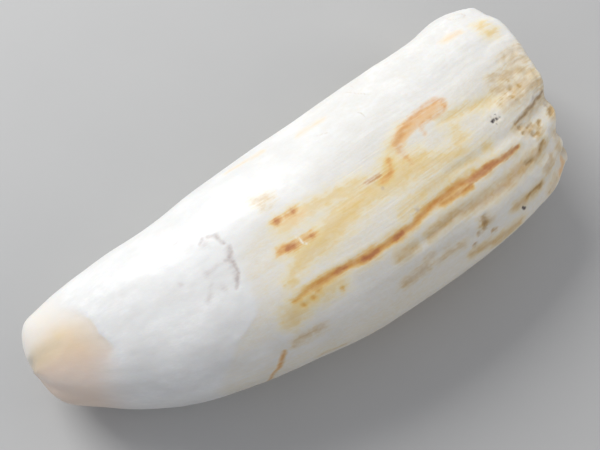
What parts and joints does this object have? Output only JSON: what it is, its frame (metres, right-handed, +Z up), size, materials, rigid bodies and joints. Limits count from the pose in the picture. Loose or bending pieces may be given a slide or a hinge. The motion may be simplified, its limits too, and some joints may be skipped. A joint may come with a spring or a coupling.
{
  "type": "whale tooth",
  "caption": "Curved, tapering whale tooth lying on its flatter side, with a blunt worn tip, a ridged root and an open pulp cavity in the root end.",
  "frame": {"origin": "under the middle of the tooth, on the surface that it rests on", "axes": "+X along the tooth from the tip to the rim of the root, +Y towards the hollow flank, +Z up"},
  "size_m": [0.162, 0.0692, 0.0456],
  "materials": {
    "aged_ivory": "natural ivory, softly polished at the tip and rougher towards the root"
  },
  "bodies": {
    "root": {"tooth": "aged_ivory"}
  },
  "joints": []
}
